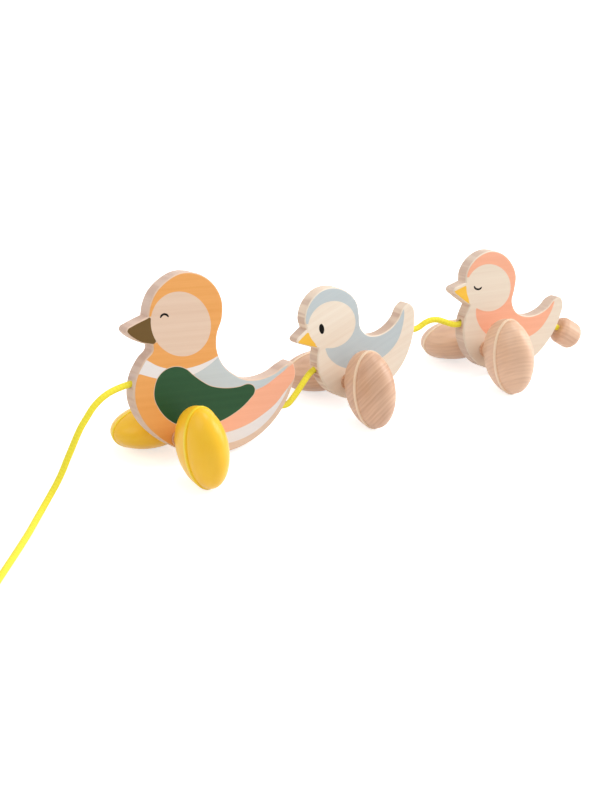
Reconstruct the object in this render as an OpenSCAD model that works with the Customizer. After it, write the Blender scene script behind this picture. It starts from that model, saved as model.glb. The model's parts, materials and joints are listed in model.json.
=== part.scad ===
// Pull-along duck train: a mother duck and two ducklings on oval waddling wheels,
// linked by a round cord. Millimetres, Z up, standing on z = 0. The ducks face -X,
// so -Y is their left side. Each wheel rim is oval, and the two wheels of a duck sit
// a quarter turn apart on their axle, so a standing duck leans to its right.

/* [Boards] */
// Thickness of the board that each duck is cut from
board_t = 10.6; // [8:0.1:14]
// Radius of the eased edges round both faces of a board
edge_r = 1.2; // [0.4:0.1:1.5]
// Length of the mother's board from beak to tail
mother_len = 114.3; // [100:0.1:130]
// Length of the first duckling's board
duckling_1_len = 86.5; // [76:0.1:96]
// Length of the second duckling's board
duckling_2_len = 89.5; // [80:0.1:100]

/* [Wheels] */
// Long axis of the oval wheel rim
wheel_long = 52; // [40:0.1:56]
// Short axis of the oval wheel rim
wheel_short = 27.2; // [22:0.1:38]
// Thickness of the rim
rim_t = 2.2; // [1:0.1:4]
// Step from the rim's edge in to the outer dome
outer_step = 1; // [0.6:0.1:3]
// Step from the rim's edge in to the inner dome
inner_step = 0.5; // [0.5:0.1:3]
// Depth of the outer dome, from the middle of the rim
outer_dome = 19; // [12:0.1:26]
// Depth of the inner dome, from the middle of the rim towards the board
inner_dome = 25.4; // [18:0.1:30]
// Diameter of the hub that carries the wheel against its washer
hub_d = 10; // [9:0.1:14]
// Height of the hub beyond the top of the inner dome
hub_h = 1.4; // [0.2:0.1:3]

/* [Axles] */
// Diameter of the axle dowel
axle_d = 6; // [4:0.1:8]
// Radial running clearance of the axle in the board
axle_clearance = 0.07; // [0.02:0.01:0.1]
// Depth of the axle in each wheel, from the hub's face
axle_grip = 18; // [10:0.5:24]
// Outer diameter of the washer beside the board
washer_d = 11.5; // [9:0.1:16]
// Thickness of the washer
washer_t = 1.4; // [0.6:0.1:4]
// Side play between the washer and the board
side_play = 0.1; // [0.05:0.01:0.4]

/* [Cord] */
// Diameter of the cord
cord_d = 4; // [3:0.1:4.4]
// Radial clearance of the cord in its holes
cord_clearance = 0.12; // [0.05:0.01:0.3]
// Depth of the cord holes in the boards
cord_hole_depth = 14; // [11:0.5:18]
// Room round the cord in the mouth of a tail hole, where it swings
swing_room = 0.8; // [0.6:0.1:1.2]

/* [Drums] */
// Diameter of the turned drum on a cord's end
drum_d = 19; // [14:0.1:22]
// Length of the drum
drum_len = 17; // [12:0.1:24]
// Rounding of the drum's ends
drum_round = 4.5; // [1:0.1:6]
// Cord showing between the last duckling's tail and its drum
tail_gap = 5.5; // [4:0.1:12]
// How far that cord droops from the way its hole points
tail_droop = 9; // [0:0.5:15]

/* [Coil] */
// Turns of put-away cord in both layers of the coil
coil_turns = 4.25; // [3.25:0.25:4.75]
// Radius of the outermost turn, to the middle of the cord
coil_r = 26.5; // [24:0.1:40]
// Space between neighbouring turns
coil_gap = 0.45; // [0.42:0.01:1]
// Thickness of the paper tie round the coil
tie_t = 0.6; // [0.4:0.1:1]
// Width of the tie
tie_w = 5; // [3:0.5:6]
// Clearance between the tie and the cord
tie_clearance = 0.3; // [0.2:0.05:0.6]

/* [Standing places] */
// Mother's axle along the train
mother_x = -137.95; // [-180:0.05:-120]
// Mother's axle across the train
mother_y = -8.5; // [-20:0.05:20]
// Mother's turn from straight ahead
mother_yaw = 5; // [-10:0.5:10]
// First duckling's axle along the train
duckling_1_x = -7.5; // [-20:0.05:10]
// First duckling's axle across the train
duckling_1_y = 8.55; // [-20:0.05:20]
// First duckling's turn from straight ahead
duckling_1_yaw = 0.5; // [-10:0.5:10]
// How far the first duckling tips forward on its axle
duckling_1_nod = 18.5; // [0:0.5:25]
// Second duckling's axle along the train
duckling_2_x = 100.65; // [90:0.05:130]
// Second duckling's axle across the train
duckling_2_y = 4.95; // [-20:0.05:20]
// Second duckling's turn from straight ahead
duckling_2_yaw = -1.5; // [-10:0.5:10]

/* [Hidden] */
$fn = 48;

// Colours
mother_wood = [0.93, 0.65, 0.36];
grey_blue = [0.77, 0.80, 0.80];
peach = [0.98, 0.71, 0.58];
beech = [0.85, 0.68, 0.53];
wheel_yellow = [0.95, 0.76, 0.22];
cord_yellow = [0.98, 0.88, 0.16];
paper = [0.92, 0.89, 0.82];

// Outlines, as [back from the axle, above the axle, corner]: a smooth curve runs
// through each point, and a 1 marks a corner. They start on top of the beak and go
// over the head to the tail, and back along the belly.
mother_knots = [
    [-21.6, 75.3, 0], [-10.2, 77.8, 1], [-8.3, 83.6, 0], [-4.2, 90, 0], [4.3, 96, 0],
    [15.5, 99, 0], [27, 96, 0], [36.2, 88.2, 0], [41, 76.5, 0], [39.5, 65.4, 0],
    [34.7, 56.4, 0], [33.4, 47.3, 0], [36.2, 37.3, 0], [43, 29.3, 0], [52, 23.5, 0],
    [62, 21.6, 0], [72, 22.6, 0], [80.5, 25.6, 0], [86, 26.4, 0], [87.6, 22, 0],
    [81.2, 6.4, 0], [70.5, -5.6, 0], [56, -14, 0], [38, -18, 0], [18, -15.8, 0],
    [0, -8, 0], [-14, 3.7, 0], [-23.2, 17, 0], [-26.6, 31, 0], [-23.6, 43.2, 0],
    [-16.3, 52.6, 0], [-10, 58, 0], [-9.8, 60.6, 1], [-16.8, 63.6, 0], [-22, 67.7, 0],
    [-24.3, 70.2, 0], [-25.4, 72.6, 0], [-24.2, 74.5, 0]];
duckling_knots = [
    [-19.6, 47.2, 0], [-13.4, 48.6, 1], [-12.6, 54, 0], [-8.8, 60, 0], [-1.8, 64.8, 0],
    [7, 66.6, 0], [17, 63.4, 0], [24.6, 55.4, 0], [27.8, 45.8, 0], [26, 36.8, 0],
    [23.5, 28.6, 0], [26, 21.4, 0], [32.6, 17, 0], [42.5, 15.8, 0], [52, 18.6, 0],
    [59, 23.6, 0], [64, 24.2, 0], [66, 20, 0], [63.2, 10.5, 0], [55, -2, 0],
    [42, -12.6, 0], [24, -18.2, 0], [8, -16.4, 0], [-6, -10.4, 0], [-14.6, 0.2, 0],
    [-17.8, 13.4, 0], [-16, 23.6, 0], [-11.2, 32.4, 1], [-16.2, 36.6, 0],
    [-20.6, 40.7, 0], [-22.6, 42.6, 0], [-23.5, 44.7, 0], [-22.2, 46.5, 0]];
curve_steps = 3;

// Cord holes, as [back, above, angle of the way out], on the outlines as drawn
mother_breast_hole = [-24.9, 39.4, 180];
mother_tail_hole = [75.3, -0.3, -20];
duckling_1_breast_hole = [-17.3, 18, 180];
duckling_2_breast_hole = [-16.7, 20.8, 180];
duckling_tail_hole = [59.6, 4.6, -27];

// Standing on oval wheels: the left rim stands tall, the right one lies flat
wheel_track = board_t + 2 * (side_play + washer_t + hub_h + inner_dome);
lean = atan((wheel_long - wheel_short) / 2 / wheel_track);
axle_h = (wheel_long + wheel_short) / 4 * cos(lean) + rim_t / 2 * sin(lean);
rim_sides = 32;
dome_rings = 6;
dome_tip = 6;

// Duck frames, as [x, y, yaw, nod]
mother_at = [mother_x, mother_y, mother_yaw, 0];
duckling_1_at = [duckling_1_x, duckling_1_y, duckling_1_yaw, duckling_1_nod];
duckling_2_at = [duckling_2_x, duckling_2_y, duckling_2_yaw, 0];

// Curves through hand-set points
function knot(k, i) = let (p = k[(i + len(k)) % len(k)]) [p[0], p[1]];
function is_corner(k, i) = k[(i + len(k)) % len(k)][2] == 1;
function unit(v) = v / norm(v);
function heading(k, i) =
    let (a = knot(k, i) - knot(k, i - 1), b = knot(k, i + 1) - knot(k, i))
    (unit(a) * norm(b) + unit(b) * norm(a)) / (norm(a) + norm(b));
function span_point(k, i, s) =
    let (p = knot(k, i), q = knot(k, i + 1), d = norm(q - p))
    let (out = is_corner(k, i) ? unit(q - p) : heading(k, i))
    let (in = is_corner(k, i + 1) ? unit(q - p) : heading(k, i + 1))
    p * (2 * s ^ 3 - 3 * s ^ 2 + 1) + out * d * (s ^ 3 - 2 * s ^ 2 + s)
    + q * (3 * s ^ 2 - 2 * s ^ 3) + in * d * (s ^ 3 - s ^ 2);
function curve(k) =
    [for (i = [0 : len(k) - 1]) for (s = [0 : curve_steps - 1]) span_point(k, i, s / curve_steps)];
function drawn_len(k) = let (x = [for (p = curve(k)) p[0]]) max(x) - min(x);

// Each point moved inwards by d, square to the two edges that meet there
function inset(pts, d) =
    [for (i = [0 : len(pts) - 1])
        let (n = len(pts), p = pts[i])
        let (a = unit(p - pts[(i + n - 1) % n]), b = unit(pts[(i + 1) % n] - p))
        let (na = [a[1], -a[0]], nb = [b[1], -b[0]])
        p + d * (na + nb) / (1 + na * nb)];

// A closed skin over rings of equal point counts. The faces in cap, which are numbers of
// ring points, close the first and the last ring, or one face does where these are convex.
module skin(rings, cap = []) {
    n = len(rings[0]);
    m = len(rings);
    sides = [for (r = [0 : m - 2]) for (i = [0 : n - 1])
        let (a = r * n + i, b = r * n + (i + 1) % n)
        each [[a, b, b + n], [a, b + n, a + n]]];
    faces = len(cap) > 0 ? cap : [[for (i = [0 : n - 1]) i]];
    first = [for (f = faces) [for (i = [len(f) - 1 : -1 : 0]) f[i]]];
    last = [for (f = faces) [for (i = f) (m - 1) * n + i]];
    polyhedron([for (r = rings) each r], concat(sides, first, last));
}

// A flat clockwise outline cut into triangles: each step takes off one corner whose
// triangle holds none of the other points
function turn(a, b, c) = (b[0] - a[0]) * (c[1] - a[1]) - (b[1] - a[1]) * (c[0] - a[0]);
function holds(a, b, c, p) = turn(a, b, p) <= 0 && turn(b, c, p) <= 0 && turn(c, a, p) <= 0;
function corner(ids, i) = let (n = len(ids)) [ids[(i + n - 1) % n], ids[i], ids[(i + 1) % n]];
function is_free(pts, ids, t) =
    turn(pts[t[0]], pts[t[1]], pts[t[2]]) < 0
    && len([for (k = ids) if (k != t[0] && k != t[1] && k != t[2]
        && holds(pts[t[0]], pts[t[1]], pts[t[2]], pts[k])) k]) == 0;
function free_corner(pts, ids, i = 0) =
    is_free(pts, ids, corner(ids, i)) ? i : free_corner(pts, ids, i + 1);
function triangles(pts, ids) =
    len(ids) == 3 ? [ids] :
    let (i = free_corner(pts, ids))
    concat([corner(ids, i)], triangles(pts, [for (k = [0 : len(ids) - 1]) if (k != i) ids[k]]));

// Round cord along a list of points
function along(path, i) = unit(path[min(i + 1, len(path) - 1)] - path[max(i - 1, 0)]);
function cord_ring(p, dir, d, sides) =
    let (side = unit(cross([0, 0.3, 1], dir)), up = cross(dir, side))
    [for (k = [0 : sides - 1]) let (a = 360 * k / sides) p + d / 2 * (side * cos(a) - up * sin(a))];
module cord(path, sides = 8) {
    skin([for (i = [0 : len(path) - 1]) cord_ring(path[i], along(path, i), cord_d, sides)]);
}

// From a duck's own frame (origin in the axle, X back, Z up) to where it stands
module stand(at) {
    translate([at[0], at[1], axle_h]) rotate([0, 0, at[2]]) rotate([-lean, 0, 0]) children();
}
module nod(at) {
    rotate([0, -at[3], 0]) children();
}
// The frame of a cord hole: origin in its mouth, X out of the board
module at_hole(hole, size) {
    translate([hole[0] * size, 0, hole[1] * size]) rotate([0, -hole[2], 0]) children();
}

// Board of one duck, with its axle bore and its two cord holes
module board(knots, length, breast, tail) {
    size = length / drawn_len(knots);
    outline = curve(knots) * size;
    ease = [for (a = [0, 45, 90]) [board_t / 2 - edge_r * (1 - cos(a)), edge_r * (1 - sin(a))]];
    levels = concat(ease, [for (i = [2 : -1 : 0]) [-ease[i][0], ease[i][1]]]);
    difference() {
        skin([for (l = levels) [for (p = inset(outline, l[1])) [p[0], l[0], p[1]]]],
             triangles(inset(outline, edge_r), [for (i = [0 : len(outline) - 1]) i]));
        rotate([90, 0, 0]) cylinder(h = 2 * board_t, d = axle_d + 2 * axle_clearance, center = true);
        at_hole(breast, size) cord_bore();
        at_hole(tail, size) {
            cord_bore();
            sphere(d = cord_d + 2 * swing_room);
        }
    }
}
module cord_bore() {
    translate([-cord_hole_depth, 0, 0]) rotate([0, 90, 0])
        cylinder(h = cord_hole_depth + cord_d, d = cord_d + 2 * cord_clearance);
}

// One oval wheel: a rim between a flat and a deep dome, with its hub and its axle bore on
// the deep side, towards +Y. The rim lies square to Y with its long axis upright, and its
// flats touch the oval's four ends.
module wheel() {
    reach = 1 / cos(180 / rim_sides);
    long = wheel_long / 2 * reach;
    short = wheel_short / 2 * reach;
    arc = [for (i = [0 : dome_rings - 1]) dome_tip + (90 - dome_tip) * i / (dome_rings - 1)];
    outer = [for (a = arc) [-rim_t / 2 - (outer_dome - rim_t / 2) * cos(a), sin(a), outer_step]];
    inner = [for (a = arc) [rim_t / 2 + (inner_dome - rim_t / 2) * cos(a), sin(a), inner_step]];
    stations = concat(outer, [[-rim_t / 2, 1, 0], [rim_t / 2, 1, 0]],
                      [for (i = [dome_rings - 1 : -1 : 0]) inner[i]]);
    hub_face = inner_dome + hub_h;
    rotate([-90, 0, 0]) difference() {
        union() {
            rotate([90, 0, 0]) skin([for (s = stations) [for (k = [0 : rim_sides - 1])
                let (a = 360 * (k + 0.5) / rim_sides)
                [(short - s[2]) * s[1] * cos(a), s[0], (long - s[2]) * s[1] * sin(a)]]]);
            cylinder(h = hub_face, d = hub_d);
        }
        translate([0, 0, hub_face - axle_grip]) cylinder(h = axle_grip + hub_h, d = axle_d);
    }
}
module left_wheel() {
    translate([0, -wheel_track / 2, 0]) wheel();
}
module right_wheel() {
    translate([0, wheel_track / 2, 0]) rotate([0, 90, 180]) wheel();
}
module axle() {
    half = wheel_track / 2 - inner_dome - hub_h + axle_grip;
    rotate([90, 0, 0]) cylinder(h = 2 * half, d = axle_d, center = true);
}
module washer(side) {
    rotate([-90 * side, 0, 0]) translate([0, 0, board_t / 2 + side_play]) difference() {
        cylinder(h = washer_t, d = washer_d);
        translate([0, 0, -washer_t]) cylinder(h = 3 * washer_t, d = axle_d + 2 * axle_clearance);
    }
}
// Cord end that is glued into a tail hole, up to where the cord starts to swing
module tail_anchor(hole, size) {
    at_hole(hole, size) translate([-cord_hole_depth, 0, 0]) rotate([0, 90, 0])
        cylinder(h = cord_hole_depth - cord_d / 2 - swing_room, d = cord_d);
}

// Turned drum, its cord hole in the face at x = 0
module drum() {
    r = drum_d / 2;
    rotate([0, 90, 0]) difference() {
        rotate_extrude() {
            square([r - drum_round, drum_len]);
            translate([0, drum_round]) square([r, drum_len - 2 * drum_round]);
            for (z = [drum_round, drum_len - drum_round])
                translate([r - drum_round, z]) intersection() {
                    circle(r = drum_round);
                    translate([0, -drum_round]) square([drum_round, 2 * drum_round]);
                }
        }
        translate([0, 0, -cord_d]) cylinder(h = cord_d + drum_len / 2, d = cord_d + 2 * cord_clearance);
    }
}

// Put-away coil beside the train: two layers, spiralling in and then out again. It
// takes up the pull cord straight on, and its last turn runs straight to the drum.
coil_at = [-318.6, -88];
coil_from = -39;
coil_z = cord_d / 2 + tie_t + tie_clearance;
coil_pitch = cord_d + coil_gap;
coil_rings = 24;
coil_steps = coil_rings * coil_turns;
climb = 0.5;
function smooth(x) = let (s = min(1, max(0, x))) s * s * (3 - 2 * s);
function coil_angle(s) = coil_from - 360 * s;
function coil_run(s) = [sin(coil_angle(s)), -cos(coil_angle(s)), 0];
function coil_point(s) =
    let (r = coil_r - coil_pitch * min(s, coil_turns - s), a = coil_angle(s))
    [coil_at[0] + r * cos(a), coil_at[1] + r * sin(a),
     coil_z + coil_pitch * smooth((s - coil_turns / 2) / climb + 0.5)];
coil_start = coil_point(0) - cord_d * coil_run(0);
coil_end = coil_point(coil_turns) + cord_d * coil_run(coil_turns);
coil_path = concat([coil_start], [for (i = [0 : coil_steps]) coil_point(i / coil_rings)], [coil_end]);

// The way from the coil to the drum that lies beside it
drum_way = 22;
function beyond_coil(d, z) = let (p = coil_end + d * coil_run(coil_turns)) [p[0], p[1], z];
drum_face = beyond_coil(drum_way, drum_d / 2);
end_route = [coil_end, beyond_coil(cord_d, coil_end[2]), beyond_coil(drum_way - cord_d, drum_d / 2),
             drum_face, beyond_coil(drum_way + drum_len / 3, drum_d / 2)];

// Least gap between turns of the coil, measured over its own points
coil_far = coil_rings / 2;
coil_last = len(coil_path) - 1;
coil_least_gap = min([for (i = [0 : coil_last - coil_far]) for (j = [i + coil_far : coil_last])
    norm(coil_path[i] - coil_path[j])]) - cord_d;
echo(coil_least_gap = coil_least_gap);

mother_size = mother_len / drawn_len(mother_knots);
duckling_1_size = duckling_1_len / drawn_len(duckling_knots);
duckling_2_size = duckling_2_len / drawn_len(duckling_knots);

// A point of a duck's own frame where the duck stands, and one on a cord hole's axis,
// s in front of the hole's mouth
function nodded(p, a) = [p[0] * cos(a) - p[2] * sin(a), p[1], p[0] * sin(a) + p[2] * cos(a)];
function leaned(p) = [p[0], p[1] * cos(lean) + p[2] * sin(lean), p[2] * cos(lean) - p[1] * sin(lean)];
function yawed(p, a) = [p[0] * cos(a) - p[1] * sin(a), p[0] * sin(a) + p[1] * cos(a), p[2]];
function stood(p, at) = yawed(leaned(nodded(p, at[3])), at[2]) + [at[0], at[1], axle_h];
function on_hole(at, hole, size, s) =
    stood([hole[0] * size + s * cos(hole[2]), 0, hole[1] * size + s * sin(hole[2])], at);

// Cord routes where the train stands: the ends follow the holes, the rest is set by hand
cord_z = cord_d / 2;
grip = cord_hole_depth - 2;
lead = 1.5 * cord_d;
start = -swing_room / 2;
tail_lead = cord_d;
pull_route = concat(
    [for (s = [-grip, lead]) on_hole(mother_at, mother_breast_hole, mother_size, s)],
    [[-175, -5, 57.9], [-180, -5.8, 56.7], [-185, -6.7, 54.5], [-190, -7.7, 51],
     [-194.5, -8.8, 46.4], [-198.6, -9.8, 42], [-202.2, -10.8, 37], [-206, -11.9, 31],
     [-210, -13.2, 25], [-214, -14.6, 18.8], [-218.6, -16.4, 13.2], [-224, -18.8, 8],
     [-230.5, -23.5, 4], [-238, -31.5, cord_z], [-246, -41.7, cord_z], [-254, -51.5, cord_z],
     [-262, -61, cord_z], [-270, -70.4, cord_z], [-278, -79.8, cord_z], [-285.2, -88.8, cord_z],
     coil_start - 2 * cord_d * coil_run(0), coil_start]);
link_1_route = concat(
    [for (s = [start, tail_lead]) on_hole(mother_at, mother_tail_hole, mother_size, s)],
    [[-55, -0.5, 17.7], [-50.3, 1.9, 19.2], [-44.6, 4.7, 22.2], [-38.4, 7.6, 26.3]],
    [for (s = [cord_d, -grip]) on_hole(duckling_1_at, duckling_1_breast_hole, duckling_1_size, s)]);
link_2_route = concat(
    [for (s = [start, tail_lead]) on_hole(duckling_1_at, duckling_tail_hole, duckling_1_size, s)],
    [[53.6, 13.1, 42], [58.2, 12.9, 44.2], [63, 12.4, 45.3], [68, 11.6, 44.6], [73, 10.6, 42.4]],
    [for (s = [lead, -grip]) on_hole(duckling_2_at, duckling_2_breast_hole, duckling_2_size, s)]);
echo(pull_route = pull_route);
echo(link_1_route = link_1_route);
echo(link_2_route = link_2_route);
echo(end_route = end_route);

// The mother
module mother_body() {
    color(mother_wood) stand(mother_at)
        board(mother_knots, mother_len, mother_breast_hole, mother_tail_hole);
}
module mother_axle() { color(beech) stand(mother_at) axle(); }
module mother_left_wheel() { color(wheel_yellow) stand(mother_at) left_wheel(); }
module mother_right_wheel() { color(wheel_yellow) stand(mother_at) right_wheel(); }
module mother_left_washer() { color(beech) stand(mother_at) washer(-1); }
module mother_right_washer() { color(beech) stand(mother_at) washer(1); }
module mother_tail_anchor() {
    color(cord_yellow) stand(mother_at) tail_anchor(mother_tail_hole, mother_size);
}

// The first duckling
module duckling_1_body() {
    color(grey_blue) stand(duckling_1_at) nod(duckling_1_at)
        board(duckling_knots, duckling_1_len, duckling_1_breast_hole, duckling_tail_hole);
}
module duckling_1_axle() { color(beech) stand(duckling_1_at) axle(); }
module duckling_1_left_wheel() { color(beech) stand(duckling_1_at) left_wheel(); }
module duckling_1_right_wheel() { color(beech) stand(duckling_1_at) right_wheel(); }
module duckling_1_left_washer() { color(beech) stand(duckling_1_at) washer(-1); }
module duckling_1_right_washer() { color(beech) stand(duckling_1_at) washer(1); }
module duckling_1_tail_anchor() {
    color(cord_yellow) stand(duckling_1_at) nod(duckling_1_at)
        tail_anchor(duckling_tail_hole, duckling_1_size);
}

// The second duckling
module duckling_2_body() {
    color(peach) stand(duckling_2_at) nod(duckling_2_at)
        board(duckling_knots, duckling_2_len, duckling_2_breast_hole, duckling_tail_hole);
}
module duckling_2_axle() { color(beech) stand(duckling_2_at) axle(); }
module duckling_2_left_wheel() { color(beech) stand(duckling_2_at) left_wheel(); }
module duckling_2_right_wheel() { color(beech) stand(duckling_2_at) right_wheel(); }
module duckling_2_left_washer() { color(beech) stand(duckling_2_at) washer(-1); }
module duckling_2_right_washer() { color(beech) stand(duckling_2_at) washer(1); }
module duckling_2_tail_anchor() {
    color(cord_yellow) stand(duckling_2_at) nod(duckling_2_at)
        tail_anchor(duckling_tail_hole, duckling_2_size);
}

// Cords and what is on them
module pull_cord() { color(cord_yellow) cord(pull_route); }
module pull_cord_coil() { color(cord_yellow) cord(coil_path, 6); }
module pull_cord_end() { color(cord_yellow) cord(end_route); }
module pull_drum() {
    color(beech) translate(drum_face) rotate([0, 0, coil_angle(coil_turns) - 90]) drum();
}
module link_cord_1() { color(cord_yellow) cord(link_1_route); }
module link_cord_2() { color(cord_yellow) cord(link_2_route); }
module from_last_tail() {
    stand(duckling_2_at) nod(duckling_2_at) at_hole(duckling_tail_hole, duckling_2_size)
        rotate([0, tail_droop, 0]) children();
}
module tail_cord() {
    color(cord_yellow) from_last_tail() translate([-swing_room / 2, 0, 0]) rotate([0, 90, 0])
        cylinder(h = swing_room / 2 + tail_gap + drum_len / 3, d = cord_d);
}
module tail_drum() {
    color(beech) from_last_tail() translate([tail_gap, 0, 0]) drum();
}
// Where the tie goes round the coil, the two layers lie square above each other
module coil_tie() {
    at_turn = (coil_turns - 3) / 2;
    wide = coil_pitch + cord_d + 2 * tie_clearance;
    high = coil_pitch + cord_d + 2 * tie_clearance;
    color(paper) translate([coil_at[0], coil_at[1], tie_t + high / 2]) rotate([0, 0, coil_angle(at_turn)])
        translate([coil_r - coil_pitch * (at_turn + 0.5), 0, 0]) rotate([90, 0, 0])
            linear_extrude(tie_w, center = true) difference() {
                square([wide + 2 * tie_t, high + 2 * tie_t], center = true);
                square([wide, high], center = true);
            }
}

mother_body();
mother_axle();
mother_left_wheel();
mother_right_wheel();
mother_left_washer();
mother_right_washer();
mother_tail_anchor();
duckling_1_body();
duckling_1_axle();
duckling_1_left_wheel();
duckling_1_right_wheel();
duckling_1_left_washer();
duckling_1_right_washer();
duckling_1_tail_anchor();
duckling_2_body();
duckling_2_axle();
duckling_2_left_wheel();
duckling_2_right_wheel();
duckling_2_left_washer();
duckling_2_right_washer();
duckling_2_tail_anchor();
pull_cord();
pull_cord_coil();
pull_cord_end();
coil_tie();
pull_drum();
link_cord_1();
link_cord_2();
tail_cord();
tail_drum();
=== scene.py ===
# %% [markdown]
# # A pull-along duck train
# A mother duck and two ducklings are sawn from thick boards, painted on both faces, and
# waddle on oval wheels. One yellow cord pulls the mother, and short cords link the rest.
# The measured frame gives every place and size. This lesson dresses it, one piece at a time,
# with surfaces that are worked out as whole arrays of points.

# %% Load the frame
import json
import bmesh
import bpy
import numpy as np
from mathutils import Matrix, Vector
from mathutils.geometry import delaunay_2d_cdt


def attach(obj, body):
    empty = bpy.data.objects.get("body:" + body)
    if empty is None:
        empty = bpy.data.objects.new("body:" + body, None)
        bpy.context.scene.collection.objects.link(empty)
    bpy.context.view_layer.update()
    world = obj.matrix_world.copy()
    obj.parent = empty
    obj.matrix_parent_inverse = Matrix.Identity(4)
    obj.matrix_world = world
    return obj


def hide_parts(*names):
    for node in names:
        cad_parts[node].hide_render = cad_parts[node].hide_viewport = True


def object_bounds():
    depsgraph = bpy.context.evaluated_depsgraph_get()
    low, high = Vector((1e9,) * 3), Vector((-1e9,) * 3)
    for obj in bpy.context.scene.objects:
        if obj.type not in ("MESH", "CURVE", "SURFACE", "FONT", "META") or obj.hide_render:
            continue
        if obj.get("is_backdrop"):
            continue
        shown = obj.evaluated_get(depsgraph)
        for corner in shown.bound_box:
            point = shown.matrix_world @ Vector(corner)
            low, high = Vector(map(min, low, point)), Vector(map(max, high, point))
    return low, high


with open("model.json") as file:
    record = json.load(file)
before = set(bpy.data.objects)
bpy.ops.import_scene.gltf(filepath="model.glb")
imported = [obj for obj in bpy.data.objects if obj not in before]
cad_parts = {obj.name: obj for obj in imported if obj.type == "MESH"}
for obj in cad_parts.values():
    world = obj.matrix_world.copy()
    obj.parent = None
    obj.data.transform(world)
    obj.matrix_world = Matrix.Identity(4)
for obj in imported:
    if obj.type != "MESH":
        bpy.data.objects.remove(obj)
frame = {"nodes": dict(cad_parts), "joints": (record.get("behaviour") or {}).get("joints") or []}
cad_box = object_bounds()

scene = bpy.context.scene
scene.view_settings.view_transform = "Standard"

# %% [markdown]
# ## Camera
# The photograph looks down on the train from its left, ahead of it. The camera could be
# turned by eye, but its place was worked out from points that the frame and the photograph
# share, so four numbers and the lens are enough.

# %% Place the camera
aim = np.array([-0.02777, 0.03132, 0.0])
around, above, away = np.radians(30.10), np.radians(26.13), 1.0112
seat = aim + away * np.array([-np.sin(around) * np.cos(above),
                              -np.cos(around) * np.cos(above), np.sin(above)])
camera = bpy.data.objects.new("camera", bpy.data.cameras.new("camera"))
camera.location = seat
camera.rotation_euler = Vector(aim - seat).to_track_quat("-Z", "Y").to_euler()
camera.data.sensor_width = 36
camera.data.lens = 68.445
scene.collection.objects.link(camera)
scene.camera = camera
print("camera at", seat.round(3))

# %% [markdown]
# ## Small helpers for nodes
# A finish is a small graph of nodes. These helpers add one node each and take either a plain
# value or another node's output for every input, so that a finish reads like a recipe.

# %% Node helpers
def put(tree, socket, value):
    """Links the socket to another node's output, or sets its plain value."""
    if isinstance(value, bpy.types.NodeSocket):
        tree.links.new(value, socket)
    else:
        socket.default_value = value


def add(tree, kind, inputs, **settings):
    """Adds a node of that kind, with its settings and its inputs. Gives its outputs."""
    node = tree.nodes.new("ShaderNode" + kind)
    for key, value in settings.items():
        setattr(node, key, value)
    for key, value in inputs.items():
        put(tree, node.inputs[key], value)
    return node.outputs


def sums(tree, operation, first, second=0.0):
    """One step of arithmetic between two values."""
    return add(tree, "Math", {0: first, 1: second}, operation=operation)[0]


def mixed(tree, share, first, second):
    """The first colour where share is 0, the second where it is 1."""
    return add(tree, "Mix", {0: share, 6: first, 7: second}, data_type="RGBA")[2]


def rising(tree, value, low, high, **settings):
    """0 where the value is low or less, 1 where it is high or more."""
    return add(tree, "MapRange", {0: value, 1: low, 2: high}, **settings)[0]


def between(tree, share, first, second):
    """The first value where share is 0, the second where it is 1."""
    return add(tree, "MapRange", {0: share, 3: first, 4: second})[0]


def noise(tree, place, scale, detail=2.0, rough=0.5):
    """Soft noise at a place, 0 to 1, with about scale marks to a unit of length."""
    return add(tree, "TexNoise", {"Vector": place, "Scale": scale, "Detail": detail,
                                  "Roughness": rough})[0]


def own_place(tree):
    """The place on the piece itself, in metres, however the piece moves."""
    return add(tree, "TexCoord", {})["Object"]


# %% Helpers for finishes
def ink(red, green, blue):
    """A colour as it is seen on a screen, 0 to 255, as the linear values that nodes use."""
    c = np.array([red, green, blue]) / 255
    return (*np.where(c < 0.04045, c / 12.92, ((c + 0.055) / 1.055) ** 2.4), 1.0)


def new_finish(name):
    """A new material, with its tree and its main shader."""
    material = bpy.data.materials.new(name)
    material.use_nodes = True
    return material, material.node_tree, material.node_tree.nodes["Principled BSDF"]


def set_look(tree, shader, colour, rough, gloss=0.5):
    """Sets a finish's colour, its roughness and the strength of its gloss."""
    put(tree, shader.inputs["Base Color"], colour)
    put(tree, shader.inputs["Roughness"], rough)
    put(tree, shader.inputs["Specular IOR Level"], gloss)


def set_bump(tree, shader, strength, distance, height):
    """Lets a height, 0 to 1, shade the surface as if it stood out by a distance in metres."""
    bump = add(tree, "Bump", {"Strength": strength, "Distance": distance, "Height": height})
    put(tree, shader.inputs["Normal"], bump[0])


# %% [markdown]
# ## Studio
# The toy stands on white with hardly a shadow. More light would bleach the paint, so the
# lamps stay plain, and only rays that come from the eye, or from a gloss, see pure white.

# %% White world
soft_light, white_light = 0.55, 1.0


def seen(tree):
    """1 for rays from the camera, from a gloss or through glass, and 0 for the rest."""
    ray = add(tree, "LightPath", {})
    eye = sums(tree, "MAXIMUM", ray["Is Camera Ray"], ray["Is Glossy Ray"])
    return sums(tree, "MAXIMUM", eye, ray["Is Transmission Ray"])


world = bpy.data.worlds.new("studio")
scene.world = world
world.use_nodes = True
tree = world.node_tree
tree.nodes.clear()
soft = add(tree, "Background", {"Color": (1, 1, 1, 1), "Strength": soft_light})
white = add(tree, "Background", {"Color": (1, 1, 1, 1), "Strength": white_light})
both = add(tree, "MixShader", {0: seen(tree), 1: soft[0], 2: white[0]})
add(tree, "OutputWorld", {"Surface": both[0]})
print("white world ready")

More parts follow.
